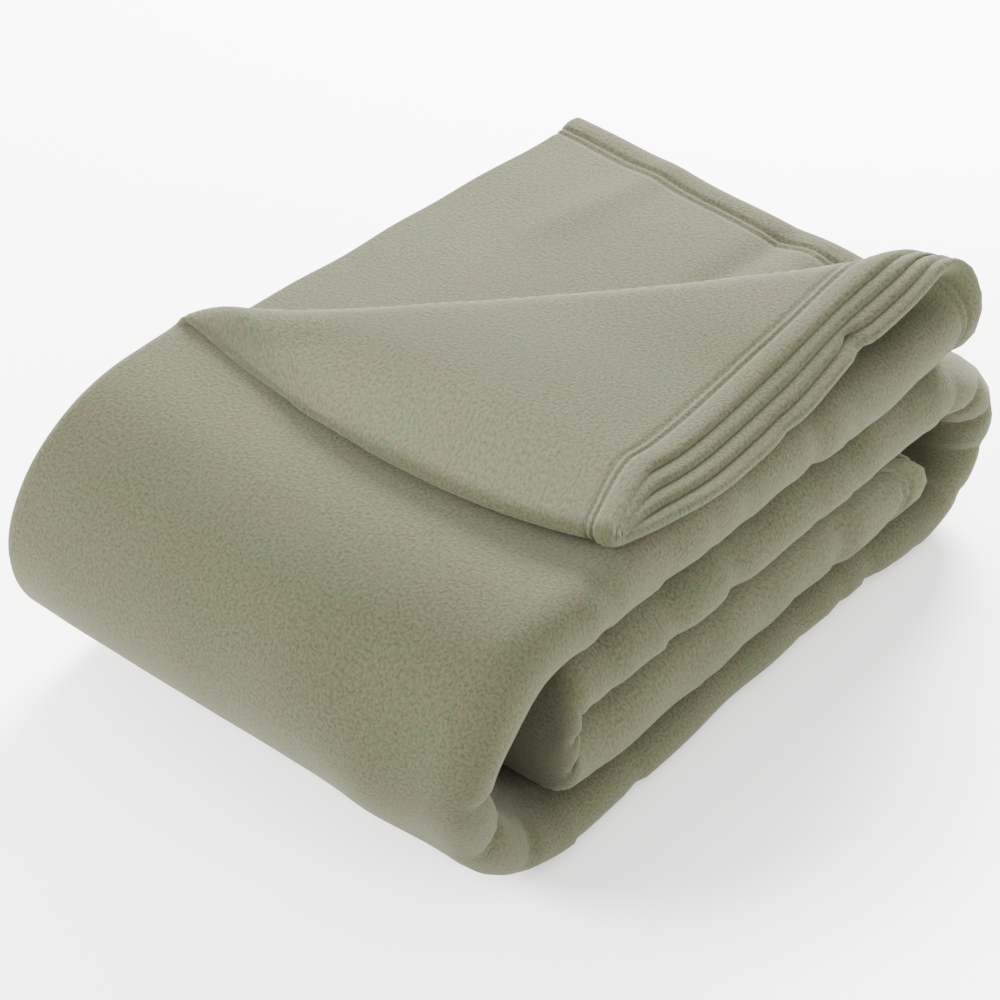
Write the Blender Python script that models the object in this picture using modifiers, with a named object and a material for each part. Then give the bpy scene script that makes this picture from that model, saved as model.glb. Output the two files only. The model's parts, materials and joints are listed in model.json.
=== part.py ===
"""A fleece camp blanket, folded into a bundle with one corner turned back.

The blanket is folded in half three times across its width, which makes a strip of eight plies. The
strip is then rolled flat: an inner leaf, a middle leaf, a bottom leaf and a top leaf, joined by three
turns. The top leaf's upper four plies are turned back at 45 degrees, so their hemmed end lies along
the bundle's right side.

Metres, +Z up. X runs across the strip, from its folded plies' loose side (-X) to its crease (+X). Y
runs along the strip, from the front turn (-Y) to the back turn (+Y). The origin is on the ground, at
the middle of the bundle.
"""

import math

import bmesh
import bpy
from mathutils import Matrix, Vector

# Driving dimensions
WIDTH = 0.286  # strip's width: a 2.29 m cloth folded into eight
LENGTH = 0.436  # front turn's tip to back turn's tip
HEM = 0.022  # depth of the turned hem
BOTTOM_THICKNESS = 0.0252  # eight plies under the weight of the rest
INNER_THICKNESS = 0.0592  # the rolled start of the strip, loosest of the four
MIDDLE_THICKNESS = 0.0384
FOUR_PLIES = 0.0135  # half the top leaf, and the turned-back corner
FRONT_TURN_DEPTH = 0.090  # how far the front turn stands out from the leaves
FRONT_TURN_WALL = 0.029
BACK_TURN_DEPTH = 0.060
BACK_TURN_WALL = 0.031
INNER_TURN_DEPTH = 0.046
INNER_TURN_TIP = 0.042  # from the bundle's front to the inner turn's tip
INNER_END = 0.063  # from the bundle's back to the inner leaf's hemmed end
TOP_END = 0.018  # from the bundle's back to the hemmed end of the top leaf's lower plies
CORNER_START = 0.009  # from the front turn to the corner's fold, at the loose side
CORNER_STOP = 0.033  # from the corner's fold to the lower plies' hemmed end, at the crease
CORNER_TIP = 0.118  # from the bundle's front to the turned-back corner's tip
ROLL_END_RADIUS = 0.0205  # the corner's roll is loosest at the crease
ROLL_SPARE = 0.1  # share of the roll's length added at each end before its ends are cut
THREAD = 0.0010
STITCH_ROWS = 0.005  # between the two rows of stitches
THREAD_INSET = 0.008  # from a hem's end to the end of its thread
GAP = 0.0003  # running gap between neighbours
SIDE_HEM_SHARE = 0.25  # two of the eight plies are hemmed edges
EDGE_ROUNDING = 0.006
TOP_PIVOT_BACK = 0.002  # the top leaf's pivot, in front of the front turn's tip
TOP_PIVOT_HEIGHT = 0.092  # high enough for the opened leaf to lie on its turned-back corner

ARC_STEPS = 10
TURN_STEPS = 22

FLEECE = (0.36, 0.37, 0.27, 1)
HEM_FLEECE = (0.34, 0.35, 0.255, 1)
SEWING_THREAD = (0.30, 0.31, 0.22, 1)

HALF_WIDTH = WIDTH / 2
FRONT = -LENGTH / 2
BACK = LENGTH / 2
SIDE = Matrix.Rotation(math.pi / 2, 4, "X")  # an outline in X and Z, extruded along Y
END = Matrix.Rotation(math.pi / 2, 4, "Z") @ SIDE  # an outline in Y and Z, extruded along X
PLAN = Matrix.Identity(4)  # an outline in X and Y, extruded along Z


def clear_scene():
    for obj in list(bpy.data.objects):
        bpy.data.objects.remove(obj)


def make_material(name, colour, roughness):
    material = bpy.data.materials.new(name)
    material.use_nodes = True
    shader = material.node_tree.nodes["Principled BSDF"]
    shader.inputs["Base Color"].default_value = colour
    shader.inputs["Roughness"].default_value = roughness
    shader.inputs["Metallic"].default_value = 0.0
    return material


def make_collection(name):
    collection = bpy.data.collections.new(name)
    bpy.context.scene.collection.children.link(collection)
    return collection


def rounded(corners):
    """An outline's points from its corners, each (x, y, radius), going anticlockwise."""
    points = []
    for i, (x, y, radius) in enumerate(corners):
        here = Vector((x, y))
        if radius <= 0:
            points.append(here)
            continue
        before = (Vector(corners[i - 1][:2]) - here).normalized()
        after = (Vector(corners[(i + 1) % len(corners)][:2]) - here).normalized()
        half_angle = before.angle(after) / 2
        centre = here + (before + after).normalized() * (radius / math.sin(half_angle))
        start = here + before * (radius / math.tan(half_angle)) - centre
        end = here + after * (radius / math.tan(half_angle)) - centre
        sweep = start.angle_signed(end)
        for step in range(ARC_STEPS + 1):
            turned = start.copy()
            turned.rotate(Matrix.Rotation(-sweep * step / ARC_STEPS, 2))
            points.append(centre + turned)
    return points


def ellipse_arc(centre, across, up, start, end):
    """Points of part of an ellipse, from one angle to another in degrees."""
    angles = [math.radians(start + (end - start) * i / TURN_STEPS) for i in range(TURN_STEPS + 1)]
    return [Vector((centre[0] + across * math.cos(a), centre[1] + up * math.sin(a))) for a in angles]


def prism(name, outline, start, end, facing, material, body):
    """A flat outline as thick as from start to end, measured along the facing's own axis."""
    curve = bpy.data.curves.new(name, "CURVE")
    curve.dimensions = "2D"
    curve.fill_mode = "BOTH"
    curve.extrude = abs(end - start) / 2
    spline = curve.splines.new("POLY")
    spline.points.add(len(outline) - 1)
    for point, place in zip(spline.points, outline):
        point.co = (place[0], place[1], 0, 1)
    spline.use_cyclic_u = True
    curve.materials.append(material)
    obj = bpy.data.objects.new(name, curve)
    obj.matrix_world = facing @ Matrix.Translation((0, 0, (start + end) / 2))
    place_in(obj, body)
    return obj


def place_in(obj, body):
    """Puts an object in the blanket's collection, under its body's empty, and leaves it where it is."""
    parts.objects.link(obj)
    obj.parent = body
    obj.matrix_parent_inverse = Matrix.Translation(-body.location)


def thread(name, start, end, body):
    """One row of stitches, drawn as a straight run of thread."""
    curve = bpy.data.curves.new(name, "CURVE")
    curve.dimensions = "3D"
    curve.bevel_depth = THREAD / 2
    curve.bevel_resolution = 2
    curve.use_fill_caps = True
    spline = curve.splines.new("POLY")
    spline.points.add(1)
    for point, place in zip(spline.points, (start, end)):
        point.co = (*place, 1)
    curve.materials.append(thread_material)
    place_in(bpy.data.objects.new(name, curve), body)


def body_empty(name, place):
    empty = bpy.data.objects.new(name, None)
    empty.location = place
    parts.objects.link(empty)
    return empty


def along_y(start, end):
    """A span along Y as prism() needs it: SIDE turns the outline's own axis to -Y."""
    return -end, -start


def leaf_section(low, high, hem_on_top):
    """A leaf's outline in X and Z: a full round at the crease, and a notch for the side hem opposite it."""
    thickness = high - low
    notch = thickness * SIDE_HEM_SHARE + GAP
    crease = thickness / 2
    inner_x = -HALF_WIDTH + HEM + GAP
    rounding = min(EDGE_ROUNDING, (thickness - notch) / 2.2)
    if hem_on_top:
        loose = [(inner_x, high, 0), (inner_x, high - notch, 0), (-HALF_WIDTH, high - notch, rounding)]
        return rounded([(-HALF_WIDTH, low, rounding), (HALF_WIDTH, low, crease - 1e-5),
                        (HALF_WIDTH, high, crease - 1e-5), *loose])
    loose = [(-HALF_WIDTH, high, rounding), (-HALF_WIDTH, low + notch, rounding), (inner_x, low + notch, 0)]
    return rounded([(inner_x, low, 0), (HALF_WIDTH, low, crease - 1e-5),
                    (HALF_WIDTH, high, crease - 1e-5), *loose])


def side_hem(name, low, high, hem_on_top, start, end, body):
    """The two hemmed edge plies of a leaf, which lie in its notch."""
    thickness = (high - low) * SIDE_HEM_SHARE
    bottom = high - thickness if hem_on_top else low
    rounding = thickness / 2.5
    outline = rounded([(-HALF_WIDTH, bottom, rounding), (-HALF_WIDTH + HEM, bottom, 0),
                       (-HALF_WIDTH + HEM, bottom + thickness, 0),
                       (-HALF_WIDTH, bottom + thickness, rounding)])
    prism(name, outline, *along_y(start, end), SIDE, hem_material, body)


def turn(name, centre_y, outer, inner, opens_back, body):
    """A turn of the strip: half a ring in Y and Z. outer and inner are (low, high, depth)."""
    angles = (90, 270) if opens_back else (90, -90)
    rings = []
    for low, high, depth in (outer, inner):
        rings.append(ellipse_arc((centre_y, (low + high) / 2), depth, (high - low) / 2, *angles))
    outline = rings[0] + rings[1][::-1]
    if not opens_back:
        outline = outline[::-1]
    obj = prism(name, outline, -HALF_WIDTH, HALF_WIDTH, END, fleece_material, body)
    weld = obj.modifiers.new("caps", "WELD")
    weld.merge_threshold = 0.00001
    bevel = obj.modifiers.new("edges", "BEVEL")
    bevel.width = EDGE_ROUNDING
    bevel.segments = 3
    bevel.limit_method = "ANGLE"
    bevel.angle_limit = math.radians(60)
    return obj


def cut_away(mesh, point, normal):
    """Cuts a closed mesh with a plane, drops what lies behind it, and closes the cut."""
    cut = bmesh.ops.bisect_plane(mesh, geom=mesh.verts[:] + mesh.edges[:] + mesh.faces[:],
                                 plane_co=point, plane_no=normal, clear_inner=True)
    edges = [e for e in cut["geom_cut"] if isinstance(e, bmesh.types.BMEdge)]
    bmesh.ops.contextual_create(mesh, geom=edges)


def roll(name, start, end, start_radius, end_radius, bottom, body):
    """The turned-back corner's roll: half a cone along the fold, swelling towards the crease."""
    along = end - start
    middle = (start + end) / 2
    mesh = bmesh.new()
    spare = ROLL_SPARE * along.length
    swell = ROLL_SPARE * (end_radius - start_radius)
    bmesh.ops.create_cone(mesh, cap_ends=True, segments=4 * ARC_STEPS, radius1=start_radius - swell,
                          radius2=end_radius + swell, depth=along.length + 2 * spare)
    away = Vector((-along.y, along.x, 0)).normalized()
    ahead = along.normalized() + Vector((0, 0, (end_radius - start_radius) / along.length))
    ahead.normalize()
    upward = ahead.cross(away).normalized()
    turned = Matrix((away, upward, ahead)).transposed().to_4x4()
    middle.z = bottom + (start_radius + end_radius) / 2
    bmesh.ops.transform(mesh, matrix=Matrix.Translation(middle) @ turned, verts=mesh.verts)
    cut_away(mesh, middle + away * GAP, away)
    cut_away(mesh, start, Vector((1, 0, 0)))
    cut_away(mesh, end, Vector((-1, 0, 0)))
    bmesh.ops.recalc_face_normals(mesh, faces=mesh.faces)
    data = bpy.data.meshes.new(name)
    mesh.to_mesh(data)
    mesh.free()
    data.shade_smooth()
    data.set_sharp_from_angle(angle=math.radians(40))
    data.materials.append(fleece_material)
    place_in(bpy.data.objects.new(name, data), body)


clear_scene()
parts = make_collection("camp_blanket")
fleece_material = make_material("fleece", FLEECE, 0.95)
hem_material = make_material("hem_fleece", HEM_FLEECE, 0.95)
thread_material = make_material("sewing_thread", SEWING_THREAD, 0.7)

# Levels, from the ground up
bottom_top = BOTTOM_THICKNESS
inner_low = bottom_top + GAP
inner_high = inner_low + INNER_THICKNESS
middle_low = inner_high + GAP
middle_high = middle_low + MIDDLE_THICKNESS
lower_plies_low = middle_high + GAP
lower_plies_high = lower_plies_low + FOUR_PLIES
upper_plies_low = lower_plies_high + GAP
upper_plies_high = upper_plies_low + FOUR_PLIES
corner_low = upper_plies_high + GAP
corner_high = corner_low + FOUR_PLIES
corner_pivot_height = upper_plies_high + GAP / 2

# Places along the strip
front_end = FRONT + FRONT_TURN_DEPTH
back_end = BACK - BACK_TURN_DEPTH
inner_front_end = FRONT + INNER_TURN_TIP + INNER_TURN_DEPTH
inner_hem_start = BACK - INNER_END - HEM
lower_plies_end = BACK - TOP_END
crease_x = HALF_WIDTH - FOUR_PLIES - 1.5 * GAP
fold_front = front_end + CORNER_START
fold_back = lower_plies_end - CORNER_STOP
corner_tip_front = FRONT + CORNER_TIP



def fold_line(x):
    """Y of the corner's fold. It runs at 45 degrees while the top leaf is as long as it is wide."""
    return fold_front + (fold_back - fold_front) * (x + HALF_WIDTH) / WIDTH


def fold_line_x(y):
    """X of the corner's fold."""
    return (y - fold_front) * WIDTH / (fold_back - fold_front) - HALF_WIDTH


bundle = body_empty("bundle_body", Vector((0, 0, 0)))
top = body_empty("top_leaf_body", Vector((0, FRONT - TOP_PIVOT_BACK, TOP_PIVOT_HEIGHT)))
corner = body_empty("corner_body", Vector((0, fold_line(0), corner_pivot_height)))


def make_bundle():
    """The inner, middle and bottom leaves, with the three turns."""
    prism("bottom_leaf", leaf_section(0, bottom_top, True), *along_y(front_end + GAP, back_end - GAP),
          SIDE, fleece_material, bundle)
    side_hem("bottom_side_hem", 0, bottom_top, True, front_end + GAP, back_end - GAP, bundle)
    prism("inner_leaf", leaf_section(inner_low, inner_high, True),
          *along_y(inner_front_end + GAP, inner_hem_start - GAP), SIDE, fleece_material, bundle)
    side_hem("inner_side_hem", inner_low, inner_high, True,
             inner_front_end + GAP, inner_hem_start - GAP, bundle)
    prism("middle_leaf", leaf_section(middle_low, middle_high, False),
          *along_y(inner_front_end + GAP, back_end - GAP), SIDE, fleece_material, bundle)
    side_hem("middle_side_hem", middle_low, middle_high, False, inner_front_end + GAP, back_end - GAP, bundle)

    crease = INNER_THICKNESS / 2 - 1e-5
    hem_outline = rounded([(-HALF_WIDTH, inner_low, EDGE_ROUNDING), (HALF_WIDTH, inner_low, crease),
                           (HALF_WIDTH, inner_high, crease), (-HALF_WIDTH, inner_high, EDGE_ROUNDING)])
    prism("inner_end_hem", hem_outline, *along_y(inner_hem_start, inner_hem_start + HEM),
          SIDE, hem_material, bundle)

    turn("front_turn", front_end, (0, upper_plies_high, FRONT_TURN_DEPTH),
         (bottom_top, lower_plies_low, FRONT_TURN_DEPTH - FRONT_TURN_WALL), True, bundle)
    turn("back_turn", back_end, (0, middle_high, BACK_TURN_DEPTH),
         (bottom_top, middle_low, BACK_TURN_DEPTH - BACK_TURN_WALL), False, bundle)
    turn("inner_turn", inner_front_end, (inner_low, middle_high, INNER_TURN_DEPTH),
         (inner_high - GAP, middle_low + GAP, GAP * 2), True, bundle)


def make_top_leaf():
    """The top leaf: four lower plies with their hem, four upper plies, and the crease that joins them."""
    notch_high = lower_plies_low + FOUR_PLIES / 2 + GAP
    lower = [(-HALF_WIDTH + HEM + GAP, lower_plies_low, 0), (crease_x, lower_plies_low, 0),
             (crease_x, lower_plies_high, 0), (-HALF_WIDTH, lower_plies_high, FOUR_PLIES / 5),
             (-HALF_WIDTH, notch_high, FOUR_PLIES / 5), (-HALF_WIDTH + HEM + GAP, notch_high, 0)]
    hem_start = lower_plies_end - HEM
    prism("top_lower_plies", rounded(lower), *along_y(front_end + GAP, hem_start - GAP),
          SIDE, fleece_material, top)
    side_hem("top_side_hem", lower_plies_low, lower_plies_low + 2 * FOUR_PLIES, False,
             front_end + GAP, hem_start - GAP, top)
    rounding = FOUR_PLIES / 3
    hem = [(-HALF_WIDTH, lower_plies_low, rounding), (HALF_WIDTH, lower_plies_low, rounding),
           (HALF_WIDTH, lower_plies_high, rounding), (-HALF_WIDTH, lower_plies_high, rounding)]
    prism("top_end_hem", rounded(hem), *along_y(hem_start, lower_plies_end), SIDE, hem_material, top)

    upper = [(-HALF_WIDTH, front_end + GAP), (crease_x, front_end + GAP),
             (crease_x, fold_line(crease_x) - GAP), (-HALF_WIDTH, fold_front - GAP)]
    prism("top_upper_plies", upper, upper_plies_low, upper_plies_high, PLAN, fleece_material, top)

    radius = FOUR_PLIES + GAP / 2
    half_round = ellipse_arc((crease_x + GAP, lower_plies_high + GAP / 2), radius, radius, -90, 90)
    crease_end = min(fold_line(crease_x), hem_start) - GAP
    prism("top_crease", half_round, *along_y(front_end + GAP, crease_end), SIDE, fleece_material, top)


def corner_edge(x):
    """Y of the turned-back corner's front edge."""
    return fold_front + (corner_tip_front - fold_front) * (x + HALF_WIDTH) / WIDTH


def make_corner():
    """The turned-back corner: a triangle of four plies, its hem along the top leaf's crease, and its roll."""
    seam_x = HALF_WIDTH - HEM
    plies_x = seam_x - GAP
    triangle = [(-HALF_WIDTH, fold_front), (plies_x, corner_edge(plies_x)), (plies_x, fold_line(plies_x))]
    prism("corner_plies", triangle, corner_low, corner_high, PLAN, fleece_material, corner)
    hem = [(seam_x, corner_edge(seam_x)), (HALF_WIDTH, corner_tip_front),
           (HALF_WIDTH, fold_back), (seam_x, fold_line(seam_x))]
    prism("corner_hem", hem, corner_low, corner_high, PLAN, hem_material, corner)
    roll("corner_roll", Vector((-HALF_WIDTH, fold_front, 0)), Vector((HALF_WIDTH, fold_back, 0)),
         FOUR_PLIES + GAP / 2, ROLL_END_RADIUS, upper_plies_low, corner)


def make_stitching():
    """Two rows of thread on each hem that shows."""
    for row, shift in (("outer", STITCH_ROWS), ("inner", 0)):
        height = corner_high + GAP + THREAD / 2
        x = HALF_WIDTH - HEM + THREAD + shift
        thread(f"corner_stitching_{row}", (x, corner_edge(x) + THREAD_INSET, height),
               (x, fold_line(x) - THREAD_INSET, height), corner)
        height = lower_plies_high + GAP + THREAD / 2
        y = lower_plies_end - HEM + THREAD + shift
        thread(f"top_end_stitching_{row}", (-HALF_WIDTH + THREAD_INSET, y, height),
               (fold_line_x(y) - 2 * ROLL_END_RADIUS, y, height), top)


make_bundle()
make_top_leaf()
make_corner()
make_stitching()
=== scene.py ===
"""A sage fleece camp blanket, folded into eight plies and rolled flat, with its top corner turned back.

The whole cloth is one grid of points: rows along the strip, from the hemmed end inside the roll to the
hemmed end on top, and columns across the cloth, from one side hem to the other. Each cloth operator shows
one part of that grid, so that the pieces meet with no gap. The rolled leaves, the top leaf and the corner
each ride on one body; the front turn and the corner's roll stay baked in place, on no body.
"""

import json
import math

import bpy
import numpy as np
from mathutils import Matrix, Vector

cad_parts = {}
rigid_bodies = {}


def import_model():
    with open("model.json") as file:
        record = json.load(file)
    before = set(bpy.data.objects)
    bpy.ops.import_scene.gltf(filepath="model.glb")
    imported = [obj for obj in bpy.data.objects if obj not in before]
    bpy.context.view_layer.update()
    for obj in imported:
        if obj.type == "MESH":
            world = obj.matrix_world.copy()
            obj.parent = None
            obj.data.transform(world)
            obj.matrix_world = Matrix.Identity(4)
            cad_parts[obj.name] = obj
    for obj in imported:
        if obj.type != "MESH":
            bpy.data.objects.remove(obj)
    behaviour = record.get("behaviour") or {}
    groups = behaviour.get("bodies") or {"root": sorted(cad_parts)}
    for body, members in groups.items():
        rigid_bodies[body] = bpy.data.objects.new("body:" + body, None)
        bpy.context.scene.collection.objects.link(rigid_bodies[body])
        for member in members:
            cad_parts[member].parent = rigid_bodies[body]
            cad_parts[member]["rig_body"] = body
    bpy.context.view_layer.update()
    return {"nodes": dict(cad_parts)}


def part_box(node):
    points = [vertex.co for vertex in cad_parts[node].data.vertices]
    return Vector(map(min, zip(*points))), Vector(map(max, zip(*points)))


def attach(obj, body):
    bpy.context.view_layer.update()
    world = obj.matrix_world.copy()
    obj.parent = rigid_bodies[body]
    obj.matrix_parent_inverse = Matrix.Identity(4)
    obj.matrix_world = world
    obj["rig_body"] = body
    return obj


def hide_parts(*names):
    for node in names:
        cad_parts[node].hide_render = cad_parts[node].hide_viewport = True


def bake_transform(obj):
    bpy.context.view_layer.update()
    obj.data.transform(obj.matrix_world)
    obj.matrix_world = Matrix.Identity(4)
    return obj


bl_info = {
    "name": "Camp blanket",
    "version": (1, 0, 0),
    "blender": (4, 5, 0),
    "location": "View3D > Sidebar > Camp blanket",
    "description": "Builds a folded fleece blanket round its CAD frame, and the studio it lies in",
    "category": "Add Mesh",
}

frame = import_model()


def levels(outward, inward):
    """Heights of a leaf's two faces, from the CAD: each is (node, 0 for its low side or 1 for its high)."""
    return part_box(outward[0])[outward[1]].z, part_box(inward[0])[inward[1]].z


BOTTOM_LEAF = levels(("bottom_leaf", 0), ("bottom_leaf", 1))
INNER_LEAF = levels(("inner_leaf", 0), ("inner_leaf", 1))
MIDDLE_LEAF = levels(("middle_leaf", 1), ("middle_leaf", 0))
TOP_LEAF = levels(("top_upper_plies", 1), ("top_lower_plies", 0))
FRONT_TURN, BACK_TURN, INNER_TURN = (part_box(n) for n in ("front_turn", "back_turn", "inner_turn"))
HALF_WIDTH = FRONT_TURN[1].x
STRIP = 2 * HALF_WIDTH

# Which ply each of the cloth's eight panels makes in the stack, counted from the outside of the roll
PANEL_PLY = (6, 1, 2, 5, 4, 3, 0, 7)
PLIES = len(PANEL_PLY)
CORNER_PLIES = 4
HEMMED_PLIES = 5.9  # plies above this have a hemmed edge at the loose side
PLY = (TOP_LEAF[0] - TOP_LEAF[1]) / PLIES
NO_HEM = 9  # the distance, in metres, that stands for no hem near

# The turns: where each starts, and how far its outward and inward plies stand out
FRONT_TURN_Y = FRONT_TURN[1].y
BACK_TURN_Y = BACK_TURN[0].y
INNER_TURN_Y = INNER_TURN[1].y + 0.004
FRONT_TURN_DEPTHS = (FRONT_TURN_Y - FRONT_TURN[0].y, 0.058)
BACK_TURN_DEPTHS = (BACK_TURN[1].y - BACK_TURN_Y + 0.009, 0.033)
INNER_TURN_DEPTHS = (0.011, 0.0005)

# The strip's hemmed ends, along Y
INNER_END_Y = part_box("inner_end_hem")[1].y - 0.003
TOP_END_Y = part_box("top_end_hem")[1].y - 0.005
LOWER_END_Y = 0.205  # the top leaf's lower plies, at the loose side
LOWER_END_SKEW = 0.058  # how much the end comes forward for each metre across
CORNER_END_Y = 0.1815  # the upper plies' end, before their corner is turned back
CORNER_END_AT_CREASE = 0.009
CORNER_END_AT_TIP = 0.005
TIP_STEP = 0.008  # how much shorter the outermost ply is there
TIP_ROUND = 0.005  # how far the corner's own tip is drawn in

# Depth of one crease round the whole leaf, and round one pair of plies at the loose side
NOSE_PLIES = 4.5
NOSE_DEEPEST = 0.0205
LOOSE_PLIES = 1.5
LOOSE_DEEPEST = 0.0042
WIDEST_CREASE = (PLIES - 1) / 2  # half the span, in plies, of the crease that holds all the others

# How the strip's ends are drawn
PLY_STEP = 0.0015  # how much shorter each lower ply is than the one on it
TIP_SIZE = 0.034
TONGUE = 0.026  # how far the inner end's middle plies stand out past the outer ones

# The corner's fold: a line near Y = X + CREST_OFFSET
CREST_OFFSET = 0.024
CREST_OFFSET_LOOSE = 0.026  # more at the loose side
CREST_INSIDE = 0.0012  # inside radius of the corner's roll
CREST_INSIDE_CREASE = 0.0082  # more at the crease
FRONT_LIFT = 0.0030  # how far the corner's front edge stands clear
CREST_FLAT = 0.45  # how much the roll is pressed flat at the loose side
ROOT_HALF = math.sqrt(0.5)
UPPER_PLIES = CORNER_PLIES - 0.4  # plies above this stay flat

# At the crease the leaves between the ground and the top leaf sag
SAG = 0.0135
SAG_HEIGHT = 0.113
SAG_REACH_UP = 0.021
SAG_REACH_DOWN = 0.044
SHOULDER = 0.035  # how much higher the front turn's shoulder stands at the loose side


def smooth(value):
    """0 to 1 with level ends."""
    value = np.clip(value, 0, 1)
    return value * value * (3 - 2 * value)


def bell(value):
    """1 at 0, and near 0 beyond -2 and 2."""
    return np.exp(-value * value)


def ripple(points, wavelength, seed):
    """A smooth field between about -1 and 1, the same at each run: waves that cross in many directions."""
    random = np.random.default_rng(seed)
    total = np.zeros(points.shape[:-1])
    for _ in range(9):
        direction = random.normal(size=points.shape[-1])
        direction /= np.linalg.norm(direction)
        length = wavelength * random.uniform(0.7, 1.6)
        total += np.sin(points @ direction * (2 * math.pi / length) + random.uniform(0, 2 * math.pi))
    return total / 4


class Grid:
    """The whole cloth as rows along the strip and columns across the cloth."""


def leaf_rows(name, start, end, heights, spacing, hem, fine, hem_at):
    """Rows along one leaf: (leaf, outward point, inward point, share), each point in Y and Z."""
    length = abs(end - start)
    plain = np.linspace(0, length - (hem if hem_at else 0), max(2, round((length - hem) / spacing)) + 1)
    close = np.linspace(0, hem, round(hem / fine) + 1)
    if hem_at == "start":
        plain = np.concatenate([close[:-1], plain + hem])
    if hem_at == "end":
        plain = np.concatenate([plain, length - hem + close[1:]])
    ways = start + (end - start) / length * plain
    return [(name, (y, heights[0]), (y, heights[1]), way / length) for y, way in zip(ways, plain)]


def turn_rows(name, centre_y, start, end, depths, side, spacing):
    """Rows round one turn, evenly spaced on its outward face, which is half an ellipse."""
    angles = np.linspace(0, math.pi, 401)
    half = abs(end[0] - start[0]) / 2
    steps = np.hypot(depths[0] * np.diff(np.sin(angles)), half * np.diff(np.cos(angles)))
    travelled = np.concatenate([[0], np.cumsum(steps)])
    count = max(8, round(travelled[-1] / spacing))
    rows = []
    for i, angle in enumerate(np.interp(np.linspace(0, travelled[-1], count + 1), travelled, angles)):
        points = []
        for face in (0, 1):
            middle = (start[face] + end[face]) / 2
            radius = (start[face] - end[face]) / 2
            y = centre_y + side * depths[face] * math.sin(angle)
            points.append((y, middle + radius * math.cos(angle)))
        rows.append((name, points[0], points[1], i / count))
    return rows


def place_rows(spacing, hem, fine):
    """The strip's rows in order, from its hemmed end inside the roll to its hemmed end on top."""
    close = spacing * 0.8
    rows = leaf_rows("inner", INNER_END_Y, INNER_TURN_Y, INNER_LEAF, spacing, hem, fine, "start")
    rows += turn_rows("inner_turn", INNER_TURN_Y, INNER_LEAF, MIDDLE_LEAF, INNER_TURN_DEPTHS, -1, close)
    rows += leaf_rows("middle", INNER_TURN_Y, BACK_TURN_Y, MIDDLE_LEAF, spacing, hem, fine, "")
    rows += turn_rows("back_turn", BACK_TURN_Y, MIDDLE_LEAF, BOTTOM_LEAF, BACK_TURN_DEPTHS, 1, close)
    rows += leaf_rows("bottom", BACK_TURN_Y, FRONT_TURN_Y, BOTTOM_LEAF, spacing, hem, fine, "")
    rows += turn_rows("front_turn", FRONT_TURN_Y, BOTTOM_LEAF, TOP_LEAF, FRONT_TURN_DEPTHS, -1, close)
    rows += leaf_rows("top", FRONT_TURN_Y, TOP_END_Y, TOP_LEAF, spacing, hem, fine, "end")
    kept = rows[:1]
    for row in rows[1:]:
        if math.dist(row[1], kept[-1][1]) + math.dist(row[2], kept[-1][2]) > 1e-6:
            kept.append(row)
    return kept


def place_columns(spacing, hem, fine, crease_steps):
    """Columns across the cloth: (panel, share across, ply, half a crease's span, crease angle, side)."""
    columns = []
    steps = round(STRIP / spacing)
    for panel, ply in enumerate(PANEL_PLY):
        rightwards = panel % 2 == 0
        shares = np.linspace(0, 1, steps + 1)
        if ply > HEMMED_PLIES:
            close = np.linspace(0, hem / STRIP, round(hem / fine) + 1)
            shares = np.concatenate([close[:-1], np.linspace(hem / STRIP, 1, steps)])
        for share in shares if rightwards else shares[::-1]:
            columns.append((panel, share, ply, 0.0, 0.0, 0))
        if panel + 1 < PLIES:
            following = PANEL_PLY[panel + 1]
            for step in range(1, crease_steps):
                angle = math.pi * step / crease_steps
                between = (ply + following) / 2 + (ply - following) / 2 * math.cos(angle)
                columns.append((panel, float(rightwards), between, abs(ply - following) / 2, angle,
                                1 if rightwards else -1))
    return columns


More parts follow.
